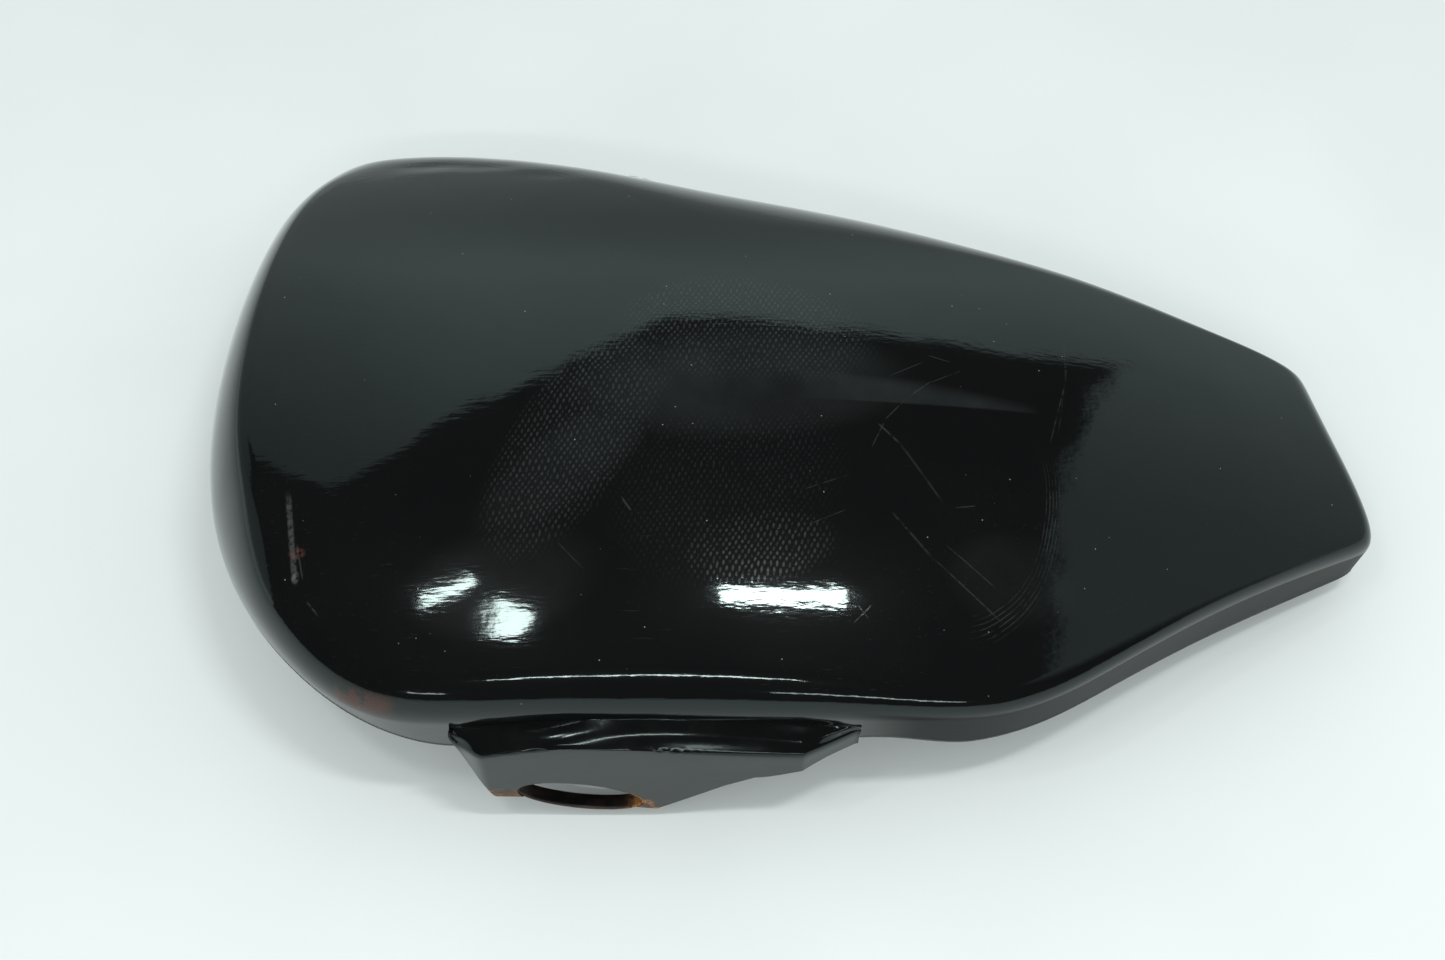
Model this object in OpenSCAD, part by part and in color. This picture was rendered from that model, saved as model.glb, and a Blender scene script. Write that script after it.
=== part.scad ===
// Left half of a split motorcycle fuel tank, lying on its centre-plane side.
// +X runs to the tail, +Y to the top of the tank, +Z out from the side of the bike.

/* [Shell] */
// Height of the outer face above the centre plane, at its highest point
crown_height = 124; // [116:1:130]
// Thickness of the pressed steel sheet
sheet = 1.4; // [1:0.1:2]
// Depth of the half tunnel that clears the frame's backbone tube
tunnel_depth = 38; // [34:1:42]
// Depth of the tunnel at the tail
tunnel_tail = 16; // [12:1:18]
// Squareness of the rolled edge, where 2 is round
roll_power = 2.3; // [2:0.1:2.8]

/* [Underside bracket] */
// How far the bracket's web stands out from the underside
bracket_out = 11; // [9:0.5:12]
// Thickness of the bracket's plate
bracket_sheet = 1.5; // [1.2:0.1:2]
// Half the length of the collar's oval hole
slot_long = 27; // [25:0.5:28]
// Half the height of the collar's oval hole
slot_high = 12.2; // [11:0.1:12.5]
// Slope of the hole along the bracket, in degrees
slot_tilt = 16; // [10:0.5:17]
// Depth of the collar's lip
lip_depth = 7; // [5:0.5:9]
// Thickness of the collar's lip
lip_wall = 1.3; // [1.2:0.1:2]

/* [Filler] */
// Outer radius of the filler neck
neck_r = 20; // [19:0.5:21]
// Wall of the filler neck
neck_wall = 2; // [1.6:0.1:2.5]
// Radius of the neck's weld flange
flange_r = 24; // [23:0.5:24.5]
// Height of the filler's centre above the centre plane
filler_z = 26.5; // [26:0.5:28]
// Radius of the cap
cap_r = 22.5; // [22:0.5:23]
// Number of scallops round the cap
scallops = 16; // [12:1:20]

/* [Fittings] */
// Outer radius of the fuel and vent nipples
nipple_r = 4; // [3.5:0.1:4.5]
// Outer radius of the threaded outlet bung
bung_r = 15; // [14:0.5:16]
// Thread's minor radius in the outlet bung, for M22 x 1.5
bung_bore_r = 10.2; // [10:0.1:10.4]
// Radius of the bore in the rear boss, for M8
boss_bore_r = 3.4; // [3.3:0.05:3.5]
// Inner radius of the front cup
cup_r = 17; // [16:0.5:18]

/* [Hidden] */

// Stations round the widest line of the shell, from the tail over the top to the front and
// back along the underside: x, y, run of the rolled edge, drop of the rolled edge
stations = [
    [260, -6, 10, 10], [253, 22, 10, 10], [247, 34, 11, 11], [228, 43, 14, 14],
    [200, 54, 20, 20], [154, 75, 32, 32], [103, 95, 44, 43], [33, 118, 50, 50],
    [-41, 138, 54, 54], [-111, 160, 56, 56], [-180, 175, 55, 56], [-230, 171, 45, 51],
    [-257, 141, 34, 48], [-266, 80, 27, 46], [-269, 14, 25, 45], [-264, -46, 24, 42],
    [-243, -100, 21, 34], [-207, -143, 15, 21], [-169, -162, 15, 17], [-121, -164, 16, 16],
    [-51, -163, 16, 16], [19, -162, 13, 13], [71, -160, 9, 9], [103, -152, 8, 8],
    [134, -136, 8, 8], [189, -103, 8, 8], [247, -72, 8, 8], [265, -62, 8, 8],
    [270, -47, 8, 8]];
sides = len(stations);
columns = 87;
face_rows = 7;
roll_rows = 6;
wall_rows = 2;
pan_rows = 12;
pan_rim = 2.6;
shell_centre = [-31, -6];
crown_x = -91;
crown_y = -16;
fall_along = 5.8e-4;
fall_across = 1.5e-3;
wall_draft = 0.105;
nose_slant = 0.85;

filler_x = -78;
filler_y = 150;
filler_turn = -17.4;
filler_axis = [-sin(filler_turn), cos(filler_turn), 0];
seat_r = 26;
seat_blend = 20;
neck_proud = 6;
neck_deep = 22;
plug_gap = 0.5;
gasket_h = 2;
cap_h = 8;

baffle_x = -20;
baffle_t = 1.2;
vent_x = 12;
vent_y = -96;
vent_z = 72;
vent_bend = 12;
vent_collar_r = 7;
tube_wall = 0.9;
crossover_at = [-118, -118];
bung_at = [62, -112];
boss_at = [196, -52];
cup_at = [-222, -30];
cup_wall = 2.5;
cup_deep = 24;
liner_t = 2.5;

function clamp01(t) = max(0, min(1, t));
function ease(t) = let (c = clamp01(t)) c * c * (3 - 2 * c);

// Height of the outer face, and height of the inner wall that forms the tunnel
function crown(p) = crown_height - fall_along * (p[0] - crown_x) ^ 2
    - fall_across * (p[1] - crown_y) ^ 2;
function chin_rise(p) = 28 * ease((-125 - p[0]) / 90) * ease((-56 - p[1]) / 70);
function under_rise(p) = 12 * ease((80 - p[0]) / 45) * ease((p[0] + 165) / 60)
    * ease((-110 - p[1]) / 45);
function tunnel(p) = let (
        depth = tunnel_depth - (tunnel_depth - tunnel_tail) * ease((p[0] - 79) / 200),
        edge = 72 - 35 * ease((p[0] - 29) / 240))
    depth * ease((edge - p[1]) / 60) + chin_rise(p) + under_rise(p);

// Closed cubic spline that passes through the stations
function refine(knots, passes) = passes == 0 ? knots : refine([
    for (i = [0 : sides - 1]) knots[i] + stations[i]
        - (knots[(i + sides - 1) % sides] + 4 * knots[i] + knots[(i + 1) % sides]) / 6
    ], passes - 1);
knots = refine(stations, 20);
function belt(u) = let (
        i = floor(u), f = u - i,
        a = knots[(i + sides - 1) % sides], b = knots[i % sides],
        c = knots[(i + 1) % sides], d = knots[(i + 2) % sides])
    ((1 - f) ^ 3 * a + (3 * f ^ 3 - 6 * f ^ 2 + 4) * b
        + (-3 * f ^ 3 + 3 * f ^ 2 + 3 * f + 1) * c + f ^ 3 * d) / 6;
function plan(v) = [v[0], v[1]];
function outward(u) = let (t = plan(belt(u + 0.05)) - plan(belt(u - 0.05 + sides)))
    [t[1], -t[0]] / norm(t);

stops = [for (i = [0 : columns - 1]) i * sides / columns];
belts = [for (u = stops) belt(u)];
normals = [for (u = stops) outward(u)];

// One ring of the shell at row r, set in by the depth t from the outer face
function edge_at(i, t) = plan(belts[i]) - normals[i] * t;
function ray_in(i, t, inset) = let (e = edge_at(i, t), v = e - shell_centre)
    e - v / norm(v) * inset;
function belt_height(i, t) = crown(edge_at(i, t)) - belts[i][3];
function foot_height(i) = tunnel(plan(belts[i])) + sheet;
function draft_at(i) = wall_draft * ease((-16 - belts[i][1]) / 60);
function face_point(i, t, s) = let (
        p = shell_centre + (ray_in(i, t, belts[i][2] - t) - shell_centre) * s)
    [p[0], p[1], crown(p) - t];
function power_at(i) = roll_power - nose_slant * ease((-225 - belts[i][0]) / 35);
function roll_point(i, t, a) = let (
        power = 2 / power_at(i),
        p = ray_in(i, t, (belts[i][2] - t) * (1 - sin(a) ^ power)))
    [p[0], p[1], crown(p) - t - (belts[i][3] - t) * (1 - cos(a) ^ power)];
function wall_point(i, t, s) = let (
        top = belt_height(i, t), z = top + (foot_height(i) - top) * s,
        p = edge_at(i, t) - normals[i] * draft_at(i) * (belt_height(i, 0) - z))
    [p[0], p[1], z];

// Flat seat pressed round the filler: a point near it moves along the filler's axis
function seated(p, t) = let (
        v = p - [filler_x, filler_y, filler_z], out = v * filler_axis,
        across = norm(cross(v, filler_axis)))
    out < -60 ? p : p - filler_axis * (out + t) * (1 - ease((across - seat_r) / seat_blend));
function shell_rings(t) = concat(
    [for (r = [1 : face_rows]) [for (i = [0 : columns - 1])
        seated(face_point(i, t, r / face_rows), t)]],
    [for (r = [1 : roll_rows]) [for (i = [0 : columns - 1])
        seated(roll_point(i, t, 90 * r / roll_rows), t)]],
    [for (r = [1 : wall_rows]) [for (i = [0 : columns - 1])
        seated(wall_point(i, t, r / wall_rows), t)]]);

// Joins two stacks of rings, each closed by a centre point, into one sheet with a rim
module ring_sheet(top_rings, top_centre, low_rings, low_centre) {
    n = len(top_rings[0]);
    rows = len(top_rings);
    low_start = n * rows + 1;
    points = concat([top_centre], [for (r = top_rings) for (p = r) p],
        [low_centre], [for (r = low_rings) for (p = r) p]);
    strips = [for (r = [0 : rows - 2]) for (i = [0 : n - 1]) let (
            a = 1 + r * n + i, b = 1 + r * n + (i + 1) % n)
        each [[a, b, b + n], [a, b + n, a + n]]];
    fan = [for (i = [0 : n - 1]) [0, 1 + (i + 1) % n, 1 + i]];
    under = [for (f = concat(strips, fan)) [f[2], f[1], f[0]] + low_start * [1, 1, 1]];
    rim = [for (i = [0 : n - 1]) let (
            a = 1 + (rows - 1) * n + i, b = 1 + (rows - 1) * n + (i + 1) % n)
        each [[a, b, b + low_start], [a, b + low_start, a + low_start]]];
    polyhedron(points, concat(strips, fan, under, rim), convexity = 8);
}

// Local frame at the filler: z points out of the neck
module at_filler() {
    translate([filler_x, filler_y, filler_z]) rotate([0, 0, filler_turn])
        rotate([-90, 0, 0]) children();
}

module rod(r, low, high) {
    translate([0, 0, low]) cylinder(r = r, h = high - low, $fn = 48);
}

module tube(r, bore, low, high) {
    difference() {
        rod(r, low, high);
        rod(bore, low - 1, high + 1);
    }
}

// Oval outline, used for the collar and its seat
module oval(grow) {
    rotate(-slot_tilt) polygon([for (a = [0 : 5 : 355])
        [(slot_long + grow) * cos(a), (slot_high + grow) * sin(a)]]);
}

module outer_skin() {
    color([0.02, 0.02, 0.022]) difference() {
        ring_sheet(shell_rings(0), [shell_centre[0], shell_centre[1], crown(shell_centre)],
            shell_rings(sheet), [shell_centre[0], shell_centre[1], crown(shell_centre) - sheet]);
        at_filler() rod(neck_r, -12, 12);
    }
}

// Inner wall: flat against the other half at the top, stepped in to form the half tunnel below,
// with a level rim under the skin's foot
function foot(i) = plan(seated(wall_point(i, 0, 1), 0));
function rim_start(i) = foot(i) - normals[i] * pan_rim;
function pan_edge(i) = foot_height(i) - sheet;
function pan_point(i, s, lift) = let (p = shell_centre + (rim_start(i) - shell_centre) * s,
        z = tunnel(p) + (pan_edge(i) - tunnel(rim_start(i))) * s ^ 6)
    [p[0], p[1], z + lift];
function pan_rings(lift) = concat(
    [for (r = [1 : pan_rows]) [for (i = [0 : columns - 1]) pan_point(i, r / pan_rows, lift)]],
    [[for (i = [0 : columns - 1]) [foot(i)[0], foot(i)[1], pan_edge(i) + lift]]]);
pan_mid = tunnel(shell_centre);

module inner_pan() {
    color([0.03, 0.03, 0.032]) difference() {
        ring_sheet(pan_rings(sheet), [shell_centre[0], shell_centre[1], pan_mid + sheet],
            pan_rings(0), [shell_centre[0], shell_centre[1], pan_mid]);
        translate([vent_x, vent_y, 0]) rod(vent_collar_r, 20, 60);
        translate([crossover_at[0], crossover_at[1], 0]) rod(nipple_r, 20, 60);
        translate([bung_at[0], bung_at[1], 0]) rod(bung_r, 20, 60);
        translate([boss_at[0], boss_at[1], 0]) rod(8, 4, 50);
    }
}

// Underside bracket: welded edge, shelf, bend and web, lofted along the underside
bracket_ends = [-145, 27];
bracket_columns = 44;
slot_at = [-92.7, 21.2];
function bracket_stand(x) = bracket_out * clamp01((26 - x) / 23)
    * (0.35 + 0.65 * ease((x + 145) / 14));
function weld_height(x) = 75.5 - 11 * ease(abs(x + 72) / 95);
function shelf_height(x) = x > -95 ? 70 - 11 * ease((x + 95) / 110)
    : 70 - 10 * ease((-95 - x) / 55);
function web_foot(x) = x < -130 ? 62 - 40 * (x + 145) / 15
    : x < -118 ? 22 - (x + 130) / 24
    : x < -60 ? 21.5 - 14 * (x + 118) / 58
    : x < -30 ? 7.5 + 23.5 * (x + 60) / 30
    : x < -17 ? 31 + 7.7 * (x + 30) / 13
    : 38.7 + 9 * ease((x + 17) / 34);
// Underside wall's y at a place along the bracket, found from the two stations beside it
function wall_y(x, z) = let (
        near = [for (i = [0 : columns - 1]) if (belts[i][1] < -100) i],
        i = [for (k = near) if (belts[k][0] <= x && belts[(k + 1) % columns][0] > x) k][0],
        j = (i + 1) % columns,
        f = (x - belts[i][0]) / (belts[j][0] - belts[i][0]),
        y = belts[i][1] + (belts[j][1] - belts[i][1]) * f,
        top = crown([x, y]) - belts[i][3])
    y + wall_draft * max(0, top - z);
function bracket_line(x, t) = let (
        stand = bracket_stand(x), low = web_foot(x), weld = weld_height(x),
        shelf = max(shelf_height(x), low + 4), web = wall_y(x, weld) - stand - 0.25)
    [[x, wall_y(x, weld) - 0.25, weld - (t > 0 ? t : 0)],
        [x, (wall_y(x, weld) + web) / 2 - 0.1, (weld + shelf) / 2 + 1.2 - t],
        [x, web + 1.5 + t * 0.4, shelf + 1.4 - t],
        [x, web + 0.4 + t * 0.8, shelf - t * 0.2],
        [x, web + t, shelf - 2.5],
        [x, web + t, (shelf - 2.5 + low) / 2],
        [x, web + t, low]];
module bracket_loft() {
    xs = [for (k = [0 : bracket_columns]) bracket_ends[0]
        + (bracket_ends[1] - bracket_ends[0]) * k / bracket_columns];
    outer = [for (x = xs) bracket_line(x, 0)];
    inner = [for (x = xs) bracket_line(x, bracket_sheet)];
    rows = len(outer[0]);
    loop = 2 * rows;
    points = [for (k = [0 : bracket_columns]) each concat(outer[k],
        [for (r = [rows - 1 : -1 : 0]) inner[k][r]])];
    skin = [for (k = [0 : bracket_columns - 1]) for (r = [0 : loop - 1]) let (
            a = k * loop + r, b = k * loop + (r + 1) % loop)
        each [[a, b, b + loop], [a, b + loop, a + loop]]];
    last = bracket_columns * loop;
    ends = [for (r = [0 : rows - 2]) let (s = loop - 1 - r) each [
        [r, s, r + 1], [s, s - 1, r + 1],
        [last + r + 1, last + s, last + r], [last + r + 1, last + s - 1, last + s]]];
    polyhedron(points, concat(skin, ends), convexity = 8);
}

module mount_bracket() {
    color([0.03, 0.03, 0.032]) difference() {
        bracket_loft();
        translate([slot_at[0], 0, slot_at[1]]) rotate([90, 0, 0])
            linear_extrude(400) oval(lip_wall);
    }
}

collar_y = -174.4;
module mount_collar() {
    color([0.25, 0.13, 0.06]) translate([slot_at[0], collar_y, slot_at[1]]) rotate([90, 0, 0])
        difference() {
            translate([0, 0, -lip_depth]) linear_extrude(lip_depth) oval(lip_wall);
            translate([0, 0, -lip_depth - 1]) linear_extrude(lip_depth + 2) oval(0);
        }
}

// Slosh baffle across the shell, cut to the space between the two pressings
function baffle_edge() = let (ys = [for (k = [0 : 12]) -140 + 210 * k / 12]) concat(
    [for (y = ys) [y, tunnel([baffle_x, y]) + sheet + (y > 0 ? 2.5 : y < -95 ? 1.8 : 0.3)]],
    [for (k = [12 : -1 : 0]) [ys[k], crown([baffle_x, ys[k]]) - sheet - 0.8]]);
module baffle_plate() {
    color([0.45, 0.45, 0.46]) translate([baffle_x, 0, 0]) rotate([90, 0, 90])
        linear_extrude(baffle_t) difference() {
            polygon(baffle_edge());
            for (y = [-105 : 45 : 30]) translate([y, 72]) circle(r = 13, $fn = 48);
            for (y = [-82 : 45 : 10]) translate([y, 43]) circle(r = 6, $fn = 48);
        }
}

module filler_neck() {
    color([0.6, 0.6, 0.62]) at_filler() rotate_extrude($fn = 96) polygon([
        [neck_r - neck_wall, -neck_deep], [neck_r, -neck_deep], [neck_r, 0],
        [flange_r, 0], [flange_r, 1.6], [neck_r + 1, 2.4], [neck_r + 1, neck_proud],
        [neck_r - neck_wall, neck_proud]]);
}

cap_seat = neck_proud + gasket_h;
module cap_shell() {
    color([0.85, 0.85, 0.87]) at_filler() difference() {
        rotate_extrude($fn = 96) polygon(concat([[0, cap_seat], [cap_r - 1.2, cap_seat],
            [cap_r, cap_seat + 1.2], [cap_r, cap_seat + cap_h * 0.45]],
            [for (a = [10 : 10 : 90]) [cap_r - 5 + 5 * cos(a) - 2 * sin(a),
                cap_seat + cap_h * 0.45 + cap_h * 0.4 * sin(a)]],
            [[0, cap_seat + cap_h]]));
        for (k = [0 : scallops - 1]) rotate(360 * k / scallops)
            translate([cap_r + 1.6, 0, cap_seat - 1]) cylinder(r = 2.6, h = cap_h, $fn = 24);
        translate([0, 0, cap_seat - 1]) cylinder(r = 3, h = 2.4, $fn = 32);
    }
}

plug_r = neck_r - neck_wall - plug_gap;
module cap_plug() {
    color([0.55, 0.55, 0.57]) at_filler() rotate_extrude($fn = 96) polygon([
        [9, cap_seat], [9, -6], [6, -6], [6, -8], [plug_r, -8], [plug_r, neck_proud - 1],
        [plug_r - 2, neck_proud], [plug_r - 2, cap_seat]]);
}

module cap_gasket() {
    color([0.08, 0.08, 0.08]) at_filler() tube(neck_r + 1, neck_r - neck_wall + 0.2,
        neck_proud, cap_seat);
}

module vent_disc() {
    color([0.75, 0.6, 0.3]) at_filler() {
        rod(8.4, -6, -4.6);
        rod(2, -4.6, 3.4);
    }
}

// Compression spring on the vent disc
spring_turns = 4;
spring_steps = 12;
module vent_spring() {
    wire = 0.45;
    ring = 8;
    low = -4.6 + wire;
    high = 3.4 - wire;
    total = spring_turns * spring_steps;
    rings = [for (k = [0 : total]) let (a = 360 * k / spring_steps,
            z = low + (high - low) * k / total)
        [for (s = [0 : ring - 1]) let (b = 360 * s / ring)
            [(5.5 + wire * cos(b)) * cos(a), (5.5 + wire * cos(b)) * sin(a), z + wire * sin(b)]]];
    faces = [for (k = [0 : total - 1]) for (s = [0 : ring - 1]) let (
            a = k * ring + s, b = k * ring + (s + 1) % ring)
        each [[a, b, b + ring], [a, b + ring, a + ring]]];
    caps = [[for (s = [ring - 1 : -1 : 0]) s], [for (s = [0 : ring - 1]) total * ring + s]];
    color([0.7, 0.7, 0.72]) at_filler()
        polyhedron([for (r = rings) each r], concat(faces, caps), convexity = 6);
}

module vent_retainer() {
    color([0.7, 0.7, 0.72]) at_filler() difference() {
        rod(9, 3.4, cap_seat);
        rod(3, 2, 7);
        for (k = [0 : 3]) rotate(90 * k) translate([6, 0, 0]) rod(1.4, 2, cap_seat + 1);
    }
}

// Vent pipe: open end high inside the shell, bend, and nipple through the tunnel wall
module vent_pipe() {
    color([0.6, 0.6, 0.62]) translate([vent_x, vent_y, 0]) {
        tube(nipple_r, nipple_r - tube_wall, 12, vent_z - vent_bend);
        tube(vent_collar_r, nipple_r - tube_wall, tunnel_depth - 2, tunnel_depth + 4);
        translate([0, vent_bend, vent_z - vent_bend]) rotate([0, -90, 0]) rotate([0, 0, -90])
            rotate_extrude(angle = 90, $fn = 64) translate([vent_bend, 0]) difference() {
                circle(r = nipple_r, $fn = 32);
                circle(r = nipple_r - tube_wall, $fn = 32);
            }
        translate([0, 0, vent_z]) rotate([-90, 0, 0])
            tube(nipple_r, nipple_r - tube_wall, vent_bend, 186);
    }
}

module crossover_nipple() {
    color([0.6, 0.6, 0.62]) translate([crossover_at[0], crossover_at[1], 0])
        rotate_extrude($fn = 64) polygon([
            [nipple_r - 1.2, 12], [nipple_r - 0.4, 12], [nipple_r + 0.5, 15], [nipple_r, 17],
            [nipple_r, tunnel_depth + 4], [nipple_r - 1.2, tunnel_depth + 4]]);
}

module outlet_bung() {
    color([0.5, 0.5, 0.52]) translate([bung_at[0], bung_at[1], 0]) rotate_extrude($fn = 96)
        polygon([[bung_bore_r, tunnel_depth - 8], [bung_r - 1, tunnel_depth - 8],
            [bung_r, tunnel_depth - 7], [bung_r, tunnel_depth + 5],
            [bung_bore_r, tunnel_depth + 5]]);
}

// Front cup: C-shaped wall open to the front, which slides over the frame's rubber disc
module cup_profile(r, wall) {
    difference() {
        union() {
            circle(r = r + wall, $fn = 96);
            translate([-r - 6, -r - wall]) square([r + 6, 2 * (r + wall)]);
        }
        circle(r = r, $fn = 96);
        translate([-r - 20, -r]) square([r + 20, 2 * r]);
    }
}
module front_cup() {
    color([0.05, 0.05, 0.05]) translate([cup_at[0], cup_at[1], tunnel_depth - cup_deep])
        linear_extrude(cup_deep) cup_profile(cup_r, cup_wall);
}
module front_cup_liner() {
    color([0.07, 0.07, 0.07]) translate([cup_at[0], cup_at[1], tunnel_depth - cup_deep + 1])
        linear_extrude(cup_deep - 2) difference() {
            circle(r = cup_r, $fn = 96);
            circle(r = cup_r - liner_t, $fn = 96);
            translate([-2 * cup_r, -cup_r]) square([2 * cup_r, 2 * cup_r]);
        }
}

boss_top = tunnel(boss_at) + 14;
boss_foot = tunnel(boss_at) - 6;
module rear_boss() {
    color([0.5, 0.5, 0.52]) translate([boss_at[0], boss_at[1], 0]) difference() {
        rod(8, boss_foot, boss_top);
        rod(boss_bore_r, boss_foot - 1, boss_top - 4);
    }
}
module rear_boss_washer() {
    color([0.08, 0.08, 0.08]) translate([boss_at[0], boss_at[1], 0])
        tube(11, 5, boss_foot - 3, boss_foot);
}

// Rubber pads glued to the tunnel wall, where the tank rides on the frame tube
module tunnel_pads() {
    color([0.08, 0.08, 0.08]) for (x = [-130, 10])
        translate([x, -44, tunnel_depth - 5]) hull() for (sx = [-1, 1]) for (sy = [-1, 1])
            translate([sx * 20, sy * 9, 0]) cylinder(r = 4, h = 5, $fn = 32);
}

outer_skin();
inner_pan();
mount_bracket();
mount_collar();
baffle_plate();
filler_neck();
cap_shell();
cap_plug();
cap_gasket();
vent_disc();
vent_spring();
vent_retainer();
vent_pipe();
crossover_nipple();
outlet_bung();
front_cup();
front_cup_liner();
rear_boss();
rear_boss_washer();
tunnel_pads();
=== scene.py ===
import math

import bmesh
import bpy
import numpy as np
from bpy.props import FloatProperty, FloatVectorProperty, IntProperty, PointerProperty
from bpy.types import Operator, Panel, PropertyGroup
from mathutils import Matrix, Vector


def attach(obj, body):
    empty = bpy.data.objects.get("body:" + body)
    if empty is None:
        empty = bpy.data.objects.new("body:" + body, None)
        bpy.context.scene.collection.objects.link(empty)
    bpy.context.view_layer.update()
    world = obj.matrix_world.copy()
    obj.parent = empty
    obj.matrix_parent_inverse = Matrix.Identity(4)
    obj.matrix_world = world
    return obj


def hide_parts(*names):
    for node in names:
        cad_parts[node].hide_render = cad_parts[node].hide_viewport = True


bl_info = {
    "name": "Half Fuel Tank",
    "version": (1, 0, 0),
    "blender": (4, 5, 0),
    "location": "3D View > Sidebar > Fuel Tank",
    "description": "Builds the left half of a split motorcycle fuel tank over its CAD frame",
    "category": "Object",
}

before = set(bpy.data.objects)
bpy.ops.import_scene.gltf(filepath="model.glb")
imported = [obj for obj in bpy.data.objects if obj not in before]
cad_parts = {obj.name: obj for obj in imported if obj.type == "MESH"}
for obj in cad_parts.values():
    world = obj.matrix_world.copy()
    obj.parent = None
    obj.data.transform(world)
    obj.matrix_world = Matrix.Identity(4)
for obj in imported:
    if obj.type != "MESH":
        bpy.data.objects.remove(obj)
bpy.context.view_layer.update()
MM = 0.001

# The shell's own sizes, in millimetres, as the part's source gives them.
STATIONS = np.array([
    (260, -6, 10, 10), (253, 22, 10, 10), (247, 34, 11, 11), (228, 43, 14, 14),
    (200, 54, 20, 20), (154, 75, 32, 32), (103, 95, 44, 43), (33, 118, 50, 50),
    (-41, 138, 54, 54), (-111, 160, 56, 56), (-180, 175, 55, 56), (-230, 171, 45, 51),
    (-257, 141, 34, 48), (-266, 80, 27, 46), (-269, 14, 25, 45), (-264, -46, 24, 42),
    (-243, -100, 21, 34), (-207, -143, 15, 21), (-169, -162, 15, 17), (-121, -164, 16, 16),
    (-51, -163, 16, 16), (19, -162, 13, 13), (71, -160, 9, 9), (103, -152, 8, 8),
    (134, -136, 8, 8), (189, -103, 8, 8), (247, -72, 8, 8), (265, -62, 8, 8),
    (270, -47, 8, 8)], float)
SIDES = len(STATIONS)
CENTRE = np.array([-31.0, -6.0])
SHEET, BRACKET_SHEET = 1.4, 1.5
CROWN_HEIGHT, CROWN_X, CROWN_Y = 124.0, -91.0, -16.0
FALL_ALONG, FALL_ACROSS = 5.8e-4, 1.5e-3
ROLL_POWER, NOSE_SLANT, TAIL_ROLL = 2.3, 0.85, 8.0
WALL_DRAFT = 0.105
TUNNEL_DEPTH, TUNNEL_TAIL = 38.0, 16.0
FILLER = np.array([-78.0, 150.0, 26.5])
FILLER_TURN = math.radians(-17.4)
FILLER_AXIS = np.array([-math.sin(FILLER_TURN), math.cos(FILLER_TURN), 0.0])
SEAT_R, SEAT_BLEND = 26.0, 20.0
NECK_HOLE_R, NECK_HOLE_REACH = 20.6, 12.0
CAP_SEAT, SCALLOPS = 8.0, 16
SLOT_AT = np.array([-92.7, 21.2])
SLOT_LONG, SLOT_HIGH, SLOT_TILT = 27.0, 12.2, math.radians(16)
LIP_WALL, LIP_DEPTH = 1.3, 7.0
COLLAR_Y = -174.4
BRACKET_ENDS, BRACKET_OUT = (-145.0, 27.0), 11.0
PAN_RIM = 2.6
BEAD_PITCH = 1.9
# The smooth outline bulges past the solids' facets by this much unless it is drawn in.
SHY = 0.22


def ease(t):
    t = np.clip(t, 0, 1)
    return t * t * (3 - 2 * t)


def crown(p):
    """Height of the outer face."""
    return CROWN_HEIGHT - FALL_ALONG * (p[..., 0] - CROWN_X) ** 2 \
        - FALL_ACROSS * (p[..., 1] - CROWN_Y) ** 2


def tunnel(p):
    """Height of the inner wall, which rises into the half tunnel."""
    x, y = p[..., 0], p[..., 1]
    depth = TUNNEL_DEPTH - (TUNNEL_DEPTH - TUNNEL_TAIL) * ease((x - 79) / 200)
    edge = 72 - 35 * ease((x - 29) / 240)
    chin = 28 * ease((-125 - x) / 90) * ease((-56 - y) / 70)
    under = 12 * ease((80 - x) / 45) * ease((x + 165) / 60) * ease((-110 - y) / 45)
    return depth * ease((edge - y) / 60) + chin + under


def spline_knots():
    """Control points of the closed cubic spline that passes through the stations."""
    turn = np.eye(SIDES)
    matrix = (4 * turn + np.roll(turn, 1, 0) + np.roll(turn, -1, 0)) / 6
    return np.linalg.solve(matrix, STATIONS)


KNOTS = spline_knots()


def belt(u):
    """Widest line of the shell: x, y, run and drop of its rolled edge."""
    i = np.floor(u).astype(int)
    f = (u - i)[..., None]
    a, b, c, d = (KNOTS[(i + k) % SIDES] for k in (-1, 0, 1, 2))
    return ((1 - f) ** 3 * a + (3 * f ** 3 - 6 * f ** 2 + 4) * b
            + (-3 * f ** 3 + 3 * f ** 2 + 3 * f + 1) * c + f ** 3 * d) / 6


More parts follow.
